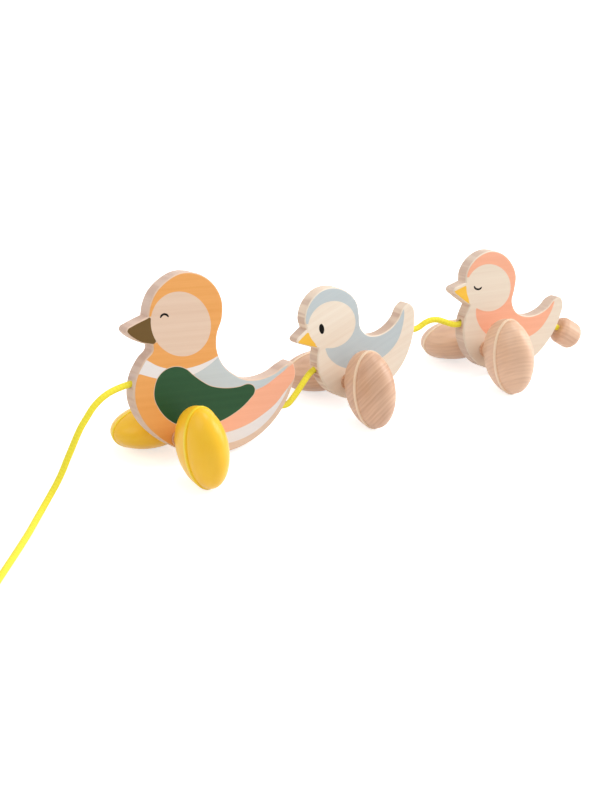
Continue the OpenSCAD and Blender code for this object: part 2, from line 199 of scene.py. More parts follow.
# %% Floor
floor_half, floor_z, floor_tone, floor_glow = 4, -2e-4, 0.86, 0.63
floor_mesh = bpy.data.meshes.new("floor")
floor_mesh.from_pydata([(x * floor_half, y * floor_half, floor_z)
                        for x, y in ((-1, -1), (1, -1), (1, 1), (-1, 1))], [], [(0, 1, 2, 3)])
floor_paint = bpy.data.materials.new("floor_white")
floor_paint.use_nodes = True
tree = floor_paint.node_tree
tree.nodes.clear()
matt = add(tree, "BsdfDiffuse", {"Color": (floor_tone, floor_tone, floor_tone, 1)})
glow = add(tree, "Emission", {"Strength": sums(tree, "MULTIPLY", seen(tree), floor_glow)})
floor_sum = add(tree, "AddShader", {0: matt[0], 1: glow[0]})
add(tree, "OutputMaterial", {"Surface": floor_sum[0]})
floor_mesh.materials.append(floor_paint)
floor = bpy.data.objects.new("floor", floor_mesh)
scene.collection.objects.link(floor)
floor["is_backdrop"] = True
print("floor", 2 * floor_half, "m wide")

# %% Lamps
def lamp(name, place, size, power):
    """A square soft lamp at that place in metres, turned towards the train."""
    data = bpy.data.lights.new(name, "AREA")
    data.size = size
    data.energy = power
    lamp_object = bpy.data.objects.new(name, data)
    lamp_object.location = place
    lamp_object.rotation_euler = Vector(aim - np.array(place)).to_track_quat("-Z", "Y").to_euler()
    scene.collection.objects.link(lamp_object)


lamp("key_lamp", (1.6, -0.75, 1.5), 1.2, 23.0)
lamp("window_lamp", (2.1, -0.5, 0.5), 1.0, 9.5)
lamp("top_lamp", (0.2, 0.2, 1.9), 0.8, 8.0)
lamp("side_lamp", (-1.6, 0.2, 1.4), 1.2, 6.0)
print("four lamps lit")

# %% [markdown]
# ## From arrays to pieces
# A turned or drawn-out shape is a grid: rows along it, columns round it. One function gives
# the corner numbers of such a grid with both ends closed. Another puts points and corners
# into a mesh, and lets the piece ride on the frame's body that carries it.

# %% Points and turns
def unit(rows):
    """Each row divided by its length."""
    return rows / np.linalg.norm(rows, axis=1)[:, None]


def round_angles(count):
    """That many even angles round a circle, in radians."""
    return np.arange(count) * 2 * np.pi / count


def turning(degrees):
    """The matrix that turns rows of points about the second axis, the first one towards the third."""
    c, s = np.cos(np.radians(degrees)), np.sin(np.radians(degrees))
    return np.array([[c, 0, s], [0, 1, 0], [-s, 0, c]])


# %% Grids
def grid_quads(rows, columns):
    """Corner numbers of the quads between rows of points that close round."""
    number = np.arange(rows * columns).reshape(rows, columns)
    beside = np.roll(number, -1, axis=1)
    return np.stack([number[:-1], beside[:-1], beside[1:], number[1:]], axis=-1)


def closed_grid(rows, columns):
    """The same quads, and fans to one pole at each end. The two poles come after all rows."""
    quads = grid_quads(rows, columns)
    pole = np.full(columns, rows * columns)
    start = np.stack([pole, quads[0, :, 1], quads[0, :, 0]], axis=-1)
    end = np.stack([pole + 1, quads[-1, :, 3], quads[-1, :, 2]], axis=-1)
    return quads.reshape(-1, 4).tolist() + start.tolist() + end.tolist()


def grid_map(rows, columns, along):
    """The flat map of such a grid: how far round, 0 to 1, and how far along, per corner."""
    fan, step = np.arange(columns) / columns, 1 / columns
    c = np.broadcast_to(fan, (rows - 1, columns))
    low = np.broadcast_to(along[:-1, None], c.shape)
    high = np.broadcast_to(along[1:, None], c.shape)
    quads = np.stack([c, low, c + step, low, c + step, high, c, high], axis=-1).reshape(-1, 2)
    ends = [np.stack([fan + step / 2, edge, fan + a, edge, fan + b, edge], axis=-1).reshape(-1, 2)
            for edge, a, b in ((fan * 0 + along[0], step, 0), (fan * 0 + along[-1], 0, step))]
    return np.concatenate([quads, *ends])


# %% Make a piece
sharp_angle = np.radians(38)


def make_piece(name, points, faces, *dressing):
    """A piece from points in metres and corner numbers, dressed as the function below says."""
    mesh = bpy.data.meshes.new(name)
    mesh.from_pydata(points.tolist(), [], faces)
    return dress(name, mesh, *dressing)


def dress(name, mesh, body, slot, finish, stands_for=(), flat_map=None, marks=None):
    """Makes the mesh an object with a finish, a map and marks on its points, which rides on a body."""
    if flat_map is not None:
        mesh.uv_layers.new(name="wrap").data.foreach_set("uv", flat_map.ravel())
    for key, values in (marks or {}).items():
        kind, field = ("FLOAT", "value") if values.ndim == 1 else ("FLOAT_VECTOR", "vector")
        mesh.attributes.new(key, kind, "POINT").data.foreach_set(field, values.ravel())
    mesh.materials.append(finish)
    mesh.shade_smooth()
    mesh.set_sharp_from_angle(angle=sharp_angle)
    piece = bpy.data.objects.new(name, mesh)
    scene.collection.objects.link(piece)
    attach(piece, body)
    if stands_for:
        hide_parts(*stands_for)
    print(name, "-", len(mesh.vertices), "points, rides on", body)
    return piece


# %% [markdown]
# ## Yellow cord
# The cord is a round braid, about 4 mm thick. A curve with a bevel would do for its shape, but
# a tube worked out ring by ring carries a map of its own, round and along, and the crossing
# strands of the braid follow that map. The strands are far too fine to model, so they are
# drawn as height in the finish, with painted shade in the grooves between them.

# %% Braided cord finish
strands, full_turn = 8.0, 6.2832
cord_finish, tree, shader = new_finish("braided_yellow_cord")
wrap = add(tree, "SeparateXYZ", {0: add(tree, "UVMap", {}, uv_map="wrap")[0]})
turns = sums(tree, "MULTIPLY", wrap[0], strands)
lays = [sums(tree, "MULTIPLY", sums(tree, way, turns, wrap[1]), full_turn)
        for way in ("ADD", "SUBTRACT")]
braid = sums(tree, "MAXIMUM", *[sums(tree, "ABSOLUTE", sums(tree, "SINE", lay)) for lay in lays])
fuzz = noise(tree, own_place(tree), 900.0, 3.0)
# Painted shade: the colour is darker in the grooves between strands and lighter on their crests, times
# random fuzz.
shade = sums(tree, "MULTIPLY", sums(tree, "POWER", braid, 2.0), sums(tree, "ADD", fuzz, 0.5))
colour = mixed(tree, shade, ink(246, 218, 34), ink(255, 244, 62))
set_look(tree, shader, colour, 0.75)
shader.inputs["Sheen Weight"].default_value = 0.15
height = sums(tree, "ADD", braid, sums(tree, "MULTIPLY", fuzz, 0.3))
set_bump(tree, shader, 0.5, 0.0002, height)
print("cord finish ready")

# %% Paths and tubes
def cubic_spans(a, b, out, into, size, steps):
    """Cubic spans from points a to points b, with headings out and into, times each span's size.

    At s, 0 to 1, a point is the sum of these four, each weighed by a cubic of s.
    """
    s = (np.arange(steps) / steps)[None, :, None]
    return (a * (2 * s**3 - 3 * s**2 + 1) + out * size * (s**3 - 2 * s**2 + s)
            + b * (3 * s**2 - 2 * s**3) + into * size * (s**3 - s**2))


def smooth_path(points, steps=12):
    """A smooth curve through points: cubic spans whose headings weigh the shorter chord more."""
    p = np.array(points, float)
    chord = np.diff(p, axis=0)
    size = np.linalg.norm(chord, axis=1)[:, None]
    way = chord / size
    inner = (way[:-1] * size[1:] + way[1:] * size[:-1]) / (size[:-1] + size[1:])
    heading = np.concatenate([way[:1], inner, way[-1:]])[:, None]
    spans = cubic_spans(p[:-1, None], p[1:, None], heading[:-1], heading[1:], size[:, None], steps)
    return np.concatenate([spans.reshape(-1, 3), p[-1:]])


def even_path(path, step):
    """The same path with points at even distances along it, and those distances."""
    gone = np.concatenate([[0], np.cumsum(np.linalg.norm(np.diff(path, axis=0), axis=1))])
    at = np.linspace(0, gone[-1], int(gone[-1] / step) + 2)
    return np.stack([np.interp(at, gone, path[:, i]) for i in range(3)], axis=-1), at


# No cord runs along this direction, so the sides of its rings can be laid square to it.
seldom_along = [0, 0.3, 1]


def tube(path, radius, columns):
    """Rings square to a path: each point is the path's point plus radius times (side cos + up sin)."""
    way = unit(np.gradient(path, axis=0))
    side = unit(np.cross(seldom_along, way))
    up = np.cross(way, side)
    angle = round_angles(columns)
    ring = side[:, None] * np.cos(angle)[:, None] + up[:, None] * np.sin(angle)[:, None]
    return np.concatenate([(path[:, None] + radius * ring).reshape(-1, 3), path[:1], path[-1:]])


# %% Braided cords
cord_d, braid_lay = 4.0, 9.0
cord_step, cord_columns = 0.8, 24


def braid_on(name, path, at, body, stands_for):
    """A braided cord on a path in millimetres, whose points lie at those distances along it."""
    return make_piece(name, tube(path, cord_d / 2, cord_columns) / 1000,
                      closed_grid(len(path), cord_columns), body, "cord", cord_finish, stands_for,
                      grid_map(len(path), cord_columns, at / braid_lay))


def make_cord(name, route, body, stands_for):
    """A braided cord along a route. Gives the piece, its path and its length, both in metres."""
    path, at = even_path(smooth_path(route), cord_step)
    return braid_on(name, path, at, body, stands_for), path / 1000, at[-1] / 1000


# %% [markdown]
# ## Pull cord and its put-away coil
# The photograph shows the cord falling from the mother's breast and leaving the picture on the
# floor. The rest is wound into a small flat coil beside the train, two layers thick, and ends
# in a wooden drum. The coil is a formula: the radius shrinks by one pitch per turn to the
# middle of the winding and grows again, while the height climbs by one pitch half way.

# %% Pull cord
coil_at, coil_from, coil_r, coil_z = (-318.6, -88.0), -39.0, 26.5, 2.9
coil_pitch, coil_turns, climb_turns, coil_steps = 4.45, 4.25, 0.5, 24


def coil_point(turn):
    """A point of the coil after that many turns, in millimetres."""
    r = coil_r - coil_pitch * np.minimum(turn, coil_turns - turn)
    a = np.radians(coil_from - 360 * turn)
    s = np.clip((turn - coil_turns / 2) / climb_turns + 0.5, 0, 1)
    return np.stack([coil_at[0] + r * np.cos(a), coil_at[1] + r * np.sin(a),
                     coil_z + coil_pitch * s * s * (3 - 2 * s)], axis=-1)


pull_route = [(-151.4, -2.5, 58.45), (-169.4, -4.1, 58.45), (-175, -5, 57.9), (-180, -5.8, 56.7),
              (-185, -6.7, 54.5), (-190, -7.7, 51), (-194.5, -8.8, 46.4), (-198.6, -9.8, 42),
              (-202.2, -10.8, 37), (-206, -11.9, 31), (-210, -13.2, 25), (-214, -14.6, 18.8),
              (-218.6, -16.4, 13.2), (-224, -18.8, 8), (-230.5, -23.5, 4), (-238, -31.5, 2.2),
              (-246, -41.7, 2.05), (-254, -51.5, 2.05), (-262, -61, 2.05), (-270, -70.4, 2.05),
              (-278, -79.8, 2.05), (-285.2, -88.8, 2.15), (-290.5, -95.4, 2.9), (-295.5, -101.6, 2.9)]
end_route = [(-338.4, -106.1, 7.35), (-341.5, -103.6, 7.35), (-352.4, -94.75, 9.5),
             (-355.5, -92.2, 9.5), (-359.9, -88.7, 9.5)]
winding = coil_point(np.arange(0, coil_turns * coil_steps + 1) / coil_steps)
pull_cord, pull_path, pull_length = make_cord(
    "pull_cord_braid", np.concatenate([pull_route, winding, end_route]), "mother",
    ("pull_cord", "pull_cord_coil", "pull_cord_end"))
print("pull cord is", round(pull_length, 3), "m long")

# %% [markdown]
# ## Link cords
# Each duckling is led by a short cord that is held inside the duck before it and glued into its
# own breast. Its curve could be worked out from its weight, but so short a braid keeps the bends
# that it was given, so the points below follow the photograph.

# %% Link cords
link_1_route = [(-63.24, -2.0, 19.51), (-59.1, -1.9, 18.03), (-55, -0.5, 17.7), (-50.3, 1.9, 19.2),
                (-44.6, 4.7, 22.2), (-38.4, 7.6, 26.3), (-32.68, 10.13, 29.43), (-17.52, 11.18, 34.42)]
link_2_route = [(45.28, 13.1, 41.85), (49.63, 13.02, 41.21), (53.6, 13.1, 42), (58.2, 12.9, 44.2),
                (63, 12.4, 45.3), (68, 11.6, 44.6), (73, 10.6, 42.4), (78.06, 9.32, 40.13),
                (96.05, 8.85, 40.13)]
for name, route, body in (("link_cord_1", link_1_route, "duckling_1"),
                          ("link_cord_2", link_2_route, "duckling_2")):
    piece, path, length = make_cord(name + "_braid", route, body, (name,))
    print(name, "is", round(length, 4), "m long")

# %% [markdown]
# ## Where each duck stands
# A duck leans, because its left wheel stands tall while its right one lies flat. Its wheel
# joint gives the axle's middle and direction, and from these come three axes: back along the
# duck, to its right, and up its board. The first duckling also tips forward on its axle.

# %% Duck axes
duckling_1_nod = 18.5


def duck_axes(duck):
    """The axle's middle in millimetres and the rows back, right and up, from the wheel joint."""
    joint = next(j for j in frame["joints"] if j["name"] == duck + "_roll")
    left = np.array(joint["axis"]) / np.linalg.norm(joint["axis"])
    back = np.cross([0, 0, 1], left)
    back /= np.linalg.norm(back)
    return 1000 * np.array(joint["pos_m"]), np.stack([back, -left, np.cross(back, -left)])


axes = {duck: duck_axes(duck) for duck in ("mother", "duckling_1", "duckling_2")}


def stood(points, duck, nod=0.0):
    """Points of a duck's own frame, tipped by nod about the axle, in metres where the duck stands."""
    origin, rows = axes[duck]
    return (origin + points @ turning(nod) @ rows) / 1000


for duck in axes:
    print(duck, "axle at", axes[duck][0].round(2))

# %% [markdown]
# ## Bare wood
# The boards are pale wood with lines along the duck, and the sawn edges show darker bands where
# the grain ends. A photograph of wood would not follow the board round its edges. Noise in
# three dimensions does, as real grain does: it is stretched along the duck, so a face shows long
# lines and an edge shows the bands of the same block.

# %% Wood grain
broad_share, line_share, fibre_share = 0.5, 0.08, 0.42


def grain(tree, coords, stretch, line, fibre):
    """Broad bands, growth lines and fine fibres of a block of wood, along its first axis.

    stretch is how long a mark is for its width, line the distance of growth lines and fibre the
    width of fibres in the units of coords. The layers of growth lie across the third axis, so the
    second hardly counts. Gives the tone, 0 to 1, and the height for bumps.
    """
    long = add(tree, "Mapping", {"Vector": coords, "Scale": (1 / stretch, 0.12, 1)})[0]
    broad = noise(tree, long, 0.45 / line)
    lines = add(tree, "TexWave", {"Vector": long, "Scale": 0.314 / line, "Distortion": 7.0,
                                  "Detail": 2.0, "Detail Scale": 0.25 / line, "Detail Roughness": 0.5},
                bands_direction="Z", wave_profile="SIN")[1]
    thin = noise(tree, long, 0.5 / fibre, 5.0, 0.6)
    tone = sums(tree, "ADD", sums(tree, "MULTIPLY", broad, broad_share),
                sums(tree, "MULTIPLY", lines, line_share))
    tone = sums(tree, "ADD", tone, sums(tree, "MULTIPLY", thin, fibre_share))
    return rising(tree, tone, 0.32, 0.68), thin


def marked(tree, name, output):
    """A mark on the points of a piece, by its name."""
    return add(tree, "Attribute", {}, attribute_name=name)[output]


# %% [markdown]
# ## Painted boards
# Each colour field is a flat, satin paint with a crisp edge. Every point of the board carries
# one number per field: how far inside that field it lies, in millimetres. The finish paints
# where the number is above zero, so edges stay crisp from near and far.

# %% Painted wood finish
def painted_board(name, light, dark, end_light, end_dark, paints):
    """Bare wood from light to dark, bands of end grain on sawn edges, and a paint for each field."""
    material, tree, shader = new_finish(name)
    block = marked(tree, "block", 1)
    tone, height = grain(tree, block, 45.0, 5.0, 0.6)
    colour = mixed(tree, tone, light, dark)
    across = add(tree, "Mapping", {"Vector": block, "Scale": (0.1, 0.05, 1)})[0]
    band = rising(tree, noise(tree, across, 0.34, 1.5), 0.44, 0.58)
    sawn = mixed(tree, band, end_light, end_dark)
    colour = mixed(tree, marked(tree, "sawn_edge", 2), colour, sawn)
    covered = 0.0
    for field, paint, deep in paints:
        coat = rising(tree, marked(tree, field, 2), -0.1, 0.1, interpolation_type="SMOOTHSTEP")
        colour = mixed(tree, coat, colour, mixed(tree, tone, paint, deep))
        covered = sums(tree, "MAXIMUM", covered, coat)
    set_look(tree, shader, colour, between(tree, covered, 0.62, 0.48), 0.25)
    set_bump(tree, shader, between(tree, covered, 0.35, 0.12), 0.00012, height)
    print(name, "with", len(paints), "paints")
    return material


mother_finish = painted_board(
    "mother_painted_board", ink(235, 207, 184), ink(227, 195, 170), ink(224, 198, 185),
    ink(206, 175, 161), [
        ("wing", ink(38, 82, 46), ink(31, 73, 40)),
        ("beak", ink(110, 82, 36), ink(106, 79, 33)),
        ("collar", ink(239, 233, 231), ink(236, 230, 227)),
        ("orange", ink(242, 173, 100), ink(234, 162, 86)),
        ("grey", ink(203, 210, 211), ink(195, 203, 204)),
        ("peach", ink(254, 186, 152), ink(248, 176, 141))])
beak_yellow = ("beak", ink(255, 201, 72), ink(252, 194, 64))
grey_finish = painted_board(
    "grey_painted_board", ink(250, 237, 219), ink(242, 224, 203), ink(240, 213, 190),
    ink(192, 149, 128), [beak_yellow, ("down", ink(202, 211, 213), ink(194, 204, 207))])
peach_finish = painted_board(
    "peach_painted_board", ink(241, 226, 206), ink(234, 215, 194), ink(228, 199, 181),
    ink(205, 169, 151), [beak_yellow, ("down", ink(252, 183, 150), ink(245, 174, 140))])

# %% [markdown]
# ## Outlines and fields
# A board's outline and the edges of its colour fields are closed curves through given points,
# in millimetres back from the axle and above it. A third number, 1, makes a corner. They
# could be drawn as curve objects, but as arrays they also give distances.

# %% Closed curves and distances
def closed_curve(knots, steps=6):
    """A closed smooth curve: cubic spans as in smooth_path, straight headings at corners."""
    k = np.array([(*knot, 0)[:3] for knot in knots], float)
    p, corner = k[:, :2], k[:, 2:] == 1
    chord = np.roll(p, -1, axis=0) - p
    size = np.linalg.norm(chord, axis=1)[:, None]
    way = chord / size
    before, size_before = np.roll(way, 1, axis=0), np.roll(size, 1, axis=0)
    heading = (before * size + way * size_before) / (size + size_before)
    out = np.where(corner, way, heading)[:, None]
    into = np.where(np.roll(corner, -1, axis=0), way, np.roll(heading, -1, axis=0))[:, None]
    ends = np.roll(p, -1, axis=0)[:, None]
    return cubic_spans(p[:, None], ends, out, into, size[:, None], steps).reshape(-1, 2)


def inside_by(points, outline):
    """How far each point lies inside a closed outline, and below zero how far outside.

    The distance is the least one to the outline's edges; a ray to the right that crosses the
    edges an odd number of times starts inside.
    """
    a, b = outline[None], np.roll(outline, -1, axis=0)[None]
    p, e = points[:, None], b - a
    t = np.clip(((p - a) * e).sum(-1) / (e * e).sum(-1), 0, 1)
    gap = np.sqrt((((p - a) - t[..., None] * e) ** 2).sum(-1).min(axis=1))
    over = (a[..., 1] > p[..., 1]) != (b[..., 1] > p[..., 1])
    rise = np.where(e[..., 1] == 0, 1e-12, e[..., 1])
    cross = over & (p[..., 0] < a[..., 0] + e[..., 0] * (p[..., 1] - a[..., 1]) / rise)
    return np.where(cross.sum(axis=1) % 2 == 1, gap, -gap)


def moved_in(outline, d):
    """Each point moved inwards by d, square to the two edges that meet there."""
    a = unit(outline - np.roll(outline, 1, axis=0))
    b = np.roll(a, -1, axis=0)
    na, nb = a[:, ::-1] * [1, -1], b[:, ::-1] * [1, -1]
    return outline + d * (na + nb) / (1 + (na * nb).sum(axis=1))[:, None]


# %% Outlines of the boards
mother_knots = [
    (-21.6, 75.3), (-10.2, 77.8, 1), (-8.3, 83.6), (-4.2, 90), (4.3, 96), (15.5, 99), (27, 96),
    (36.2, 88.2), (41, 76.5), (39.5, 65.4), (34.7, 56.4), (33.4, 47.3), (36.2, 37.3), (43, 29.3),
    (52, 23.5), (62, 21.6), (72, 22.6), (80.5, 25.6), (86, 26.4), (87.6, 22), (81.2, 6.4),
    (70.5, -5.6), (56, -14), (38, -18), (18, -15.8), (0, -8), (-14, 3.7), (-23.2, 17), (-26.6, 31),
    (-23.6, 43.2), (-16.3, 52.6), (-10, 58), (-9.8, 60.6, 1), (-16.8, 63.6), (-22, 67.7),
    (-24.3, 70.2), (-25.4, 72.6), (-24.2, 74.5)]
duckling_knots = [
    (-19.6, 47.2), (-13.4, 48.6, 1), (-12.6, 54), (-8.8, 60), (-1.8, 64.8), (7, 66.6), (17, 63.4),
    (24.6, 55.4), (27.8, 45.8), (26, 36.8), (23.5, 28.6), (26, 21.4), (32.6, 17), (42.5, 15.8),
    (52, 18.6), (59, 23.6), (64, 24.2), (66, 20), (63.2, 10.5), (55, -2), (42, -12.6), (24, -18.2),
    (8, -16.4), (-6, -10.4), (-14.6, 0.2), (-17.8, 13.4), (-16, 23.6), (-11.2, 32.4, 1),
    (-16.2, 36.6), (-20.6, 40.7), (-22.6, 42.6), (-23.5, 44.7), (-22.2, 46.5)]
print("outlines of", len(mother_knots), "and", len(duckling_knots), "points")

# %% [markdown]
# ## Colour fields
# The fields follow the photograph. They could be cut into the board as faces of their own, but
# distances on its points leave the mesh even and the edges crisp. Fields that come first are on
# top, and the next ones stop at them. All of them stop short of the board's edge.

# %% Fields of the mother and of the ducklings
def oval(centre, long, short, turn, count=96):
    """An oval as a closed outline, its long axis turned from straight back by turn degrees."""
    a = round_angles(count)
    c, s = np.cos(np.radians(turn)), np.sin(np.radians(turn))
    x, y = long * np.cos(a), short * np.sin(a)
    return np.stack([centre[0] + x * c - y * s, centre[1] + x * s + y * c], axis=-1)


tail_line = [(33, -5.5), (42, -5.4), (50, -4.3), (60, -1.3), (70, 3), (78, 9), (84, 13.7)]
mother_fields = [
    ("wing", closed_curve([
        (1, 44.3), (-4, 43.6), (-9, 40.5), (-12, 35.5), (-13.3, 29), (-11, 21), (-7, 14.5),
        (-1, 9), (8, 4.5), (20, 2.4), (30, 2.8), (38, 4.5), (45, 7), (52, 11), (55.5, 13.8),
        (56.3, 16.4), (55, 19), (52, 20.6), (46, 20.5), (40, 21.2), (32, 23.3), (25, 26.5),
        (20, 30.5), (14.5, 36), (10, 41), (6, 43.3)])),
    ("face", oval((11, 68.6), 21.2, 18.2, -45)),
    ("beak", closed_curve([
        (-9.2, 77.4, 1), (-7.2, 75), (-5.6, 69), (-5.8, 62.4, 1), (-9.7, 60.8, 1), (-20, 56, 1),
        (-40, 56, 1), (-40, 78, 1)])),
    ("collar", closed_curve([
        (-30, 57, 1), (-14.5, 52.3), (-10, 48.7), (-5, 45.6), (2, 43), (10, 41.3), (18, 41),
        (27, 42), (36, 44.2, 1), (33.5, 42.7), (27, 39.6), (20, 37.3), (14, 36.2), (5, 36, 1),
        (-4, 38, 1), (-10, 40.2), (-21.5, 46), (-30, 50, 1)])),
    ("orange", closed_curve([
        (-40, 110, 1), (50, 110, 1), (50, 49, 1), (36, 44.2, 1), (5, 36, 1), (20, 0, 1),
        (16, -30, 1), (-40, -30, 1)])),
    ("grey", closed_curve([
        (5, 36, 1), (20, 37.3), (27, 39.6), (45, 50, 1), (90, 34, 1), (80, 22.7, 1), (72, 19.5),
        (65, 16.8), (56, 15.2), (40, 12, 1)])),
    ("peach", closed_curve([
        (40, 12, 1), (56, 15.5), (65, 16.8), (72, 19.5), (80, 22.7), (95, 29, 1), (95, 24, 1),
        *tail_line[::-1], (20, -3, 1)])),
    ("collar", closed_curve([
        (20, -3, 1), *tail_line, (90, 20, 1), (84, 13.2), (80, 9.4), (75, 3.7), (65, -4.9),
        (55, -9.9), (45, -12.4), (35, -12.8), (20, -11, 1)]))]
duckling_fields = [
    ("face", oval((4.6, 41.8), 18, 15.5, -27)),
    ("beak", closed_curve([
        (-40, 42, 1), (-22, 44.6, 1), (-13.4, 46.7, 1), (-11.4, 33.4, 1), (-14, 30, 1)])),
    ("down", closed_curve([
        (-14, 54, 1), (-24, 64, 1), (-24, 90, 1), (50, 90, 1), (60, 30, 1), (58, 20.5), (53, 12.5),
        (46, 5.6), (37, 1.8), (26, 1), (14, 2.5), (6, 6.2), (0, 11), (-4.4, 17), (-6.8, 24),
        (-6.6, 30, 1), (0, 40, 1)]))]
print(len(mother_fields), "fields on the mother,", len(duckling_fields), "on a duckling")

# %% Paint on a face
def painted_by(points, fields, outline, bare_rim=0.65, bare_line=0.35, nowhere=-1e3):
    """How far each point of a face lies in each field, after the fields before it and the rim.

    A bare line shows round the wing and the face. The other fields meet.
    """
    room = inside_by(points, outline) - bare_rim
    taken = np.full(len(points), nowhere)
    marks = {}
    for name, field in fields:
        depth = inside_by(points, field)
        mine = np.minimum(np.minimum(depth, -taken), room)
        marks[name] = np.maximum(marks.get(name, nowhere), mine)
        taken = np.maximum(taken, depth + (bare_line if name in ("wing", "face") else 0.0))
    marks.pop("face")
    return marks


# %% [markdown]
# ## Boards
# A board is two faces and a wall between them, with rounded edges. The wall is a grid: the
# outline, moved in and down along a quarter circle at both faces. The faces are filled with an
# even spread of points, joined by triangles as even as can be, because every point carries paint.
# A Boolean could drill the axle's bore and the two cord holes, but their edges are known curves:
# a face is filled round the bore's circle, and the wall beside a cord hole is rolled out flat,
# filled round the hole's edge and rolled back. At the end the parts are sewn together where
# they meet.

# %% Fill flat shapes
def spread_in(loops, step, rim, row_share=0.866):
    """Even points inside the first loop and outside the others by rim, every other row shifted."""
    low, high = loops[0].min(axis=0), loops[0].max(axis=0)
    u, w = np.meshgrid(np.arange(low[0], high[0], step), np.arange(low[1], high[1], step * row_share))
    u = u + (np.arange(len(u)) % 2 * step / 2)[:, None]
    every = np.stack([u.ravel(), w.ravel()], axis=-1)
    rooms = [inside_by(every, loops[0])] + [-inside_by(every, loop) for loop in loops[1:]]
    return every[np.min(rooms, axis=0) > rim]


def filled(loops, step, rim):
    """Points and triangles of the flat shape inside the first loop and outside the others.

    The points are those of the loops, in their order, and then an even spread.
    """
    points = np.concatenate([*loops, spread_in(loops, step, rim)])
    numbers = np.split(np.arange(len(points)), np.cumsum([len(loop) for loop in loops]))[:-1]
    edges = np.concatenate([np.stack([n, np.roll(n, -1)], axis=-1) for n in numbers])
    corners = np.array(delaunay_2d_cdt(points.tolist(), edges.tolist(), [], 1, 1e-6)[2])
    middle = points[corners].mean(axis=1)
    outside = np.all([inside_by(middle, loop) < 0 for loop in loops[1:]], axis=0)
    return points, corners[outside]


# %% Faces and the bore
board_t, edge_r, point_step, face_rim = 10.6, 1.0, 1.15, 0.55
bore_r, bore_columns, bore_ring = 3.07, 64, 1.3


def face_parts(outline):
    """Both faces, filled round the axle's bore, and the bore's wall."""
    a = round_angles(bore_columns)
    circle = bore_r * np.stack([np.cos(a), np.sin(a)], axis=-1)
    flat, corners = filled([moved_in(outline, edge_r), circle], point_step, face_rim)
    levels = board_t / 2 - np.array([0, bore_ring])
    rings = [np.insert(circle, 1, y, axis=1) for y in np.concatenate([-levels, levels[::-1]])]
    faces = [(np.insert(flat, 1, y, axis=1), corners.tolist()) for y in (-board_t / 2, board_t / 2)]
    quads = grid_quads(len(rings), bore_columns).reshape(-1, 4)
    return [*faces, (np.concatenate(rings), quads.tolist())]


# %% Cord holes
wall_reach, wall_rim, hole_columns = 5, 0.45, 40


def hole_parts(outline, hole, size, stations):
    """The wall beside a cord hole, and the hole itself down to its end.

    hole is its mouth and heading, and each station its depth and radius there. Rolled out, the
    wall is flat: one axis runs along the outline, the other across the board. The hole's edge at
    angle a lies radius * cos a across, and along the outline where it is radius * sin a beside the
    hole's axis. Gives the two parts, and the numbers of the outline's points in the stretch.
    """
    heading = np.radians(hole[2])
    out, side = np.array([(np.cos(heading), np.sin(heading)), (-np.sin(heading), np.cos(heading))])
    mouth = np.array(hole[:2]) * size
    nearest = np.argmin(np.linalg.norm(outline - mouth, axis=1))
    picked = (nearest + np.arange(-wall_reach, wall_reach + 1)) % len(outline)
    strip = outline[picked]
    along = np.concatenate([[0], np.cumsum(np.linalg.norm(np.diff(strip, axis=0), axis=1))])
    beside = (strip - mouth) @ side
    order = np.argsort(beside)
    a = round_angles(hole_columns)
    depth, radius = np.array(stations, float).T
    edge = radius[0] * np.stack([np.sin(a), np.cos(a)], axis=-1)
    edge[:, 0] = np.interp(edge[:, 0], beside[order], along[order])
    across = np.repeat([edge_r - board_t / 2, board_t / 2 - edge_r], len(along))
    frame_loop = np.stack([np.concatenate([along, along[::-1]]), across], axis=-1)
    flat, corners = filled([frame_loop, edge], point_step, wall_rim)
    wall = np.stack([np.interp(flat[:, 0], along, strip[:, 0]), flat[:, 1],
                     np.interp(flat[:, 0], along, strip[:, 1])], axis=-1)
    rim = wall[len(frame_loop):len(frame_loop) + hole_columns]
    ring = mouth + depth[1:, None, None] * out + (radius[1:, None] * np.sin(a))[..., None] * side
    rings = np.stack([ring[..., 0], radius[1:, None] * np.cos(a), ring[..., 1]], axis=-1)
    tunnel = np.concatenate([rim, rings.reshape(-1, 3)])
    quads = grid_quads(len(depth), hole_columns).reshape(-1, 4)
    return [(wall, corners.tolist()), (tunnel, quads.tolist())], picked


# %% Wall and seams
edge_rows = 7


def wall_part(outline, left_out):
    """The rounded edges and the wall between them, without the outline's stretches at cord holes.

    At angle a of an edge, a row lies radius * (1 - cos a) below the face and is the outline moved
    in by radius * (1 - sin a).
    """
    a = np.radians(np.linspace(0, 90, edge_rows))
    down, inset = board_t / 2 - edge_r * (1 - np.cos(a)), edge_r * (1 - np.sin(a))
    levels = zip(np.concatenate([-down, down[::-1]]), np.concatenate([inset, inset[::-1]]))
    rows = np.stack([np.insert(moved_in(outline, i), 1, y, axis=1) for y, i in levels])
    quads = grid_quads(len(rows), len(outline))
    kept = np.ones(quads.shape[:2], bool)
    kept[len(a) - 1, left_out] = False
    return rows.reshape(-1, 3), quads[kept].tolist()


def sewn(name, parts):
    """One mesh of several parts, merged where they meet, with all faces pointing outwards."""
    starts = np.cumsum([0] + [len(points) for points, corners in parts[:-1]])
    corners = [[c + start for c in face]
               for (points, faces), start in zip(parts, starts) for face in faces]
    mesh = bpy.data.meshes.new(name)
    mesh.from_pydata(np.concatenate([points for points, faces in parts]).tolist(), [], corners)
    work = bmesh.new()
    work.from_mesh(mesh)
    bmesh.ops.remove_doubles(work, verts=work.verts, dist=1e-3)
    bmesh.ops.recalc_face_normals(work, faces=work.faces)
    print(name, "has", sum(len(edge.link_faces) != 2 for edge in work.edges), "open edges")
    work.to_mesh(mesh)
    work.free()
    return mesh


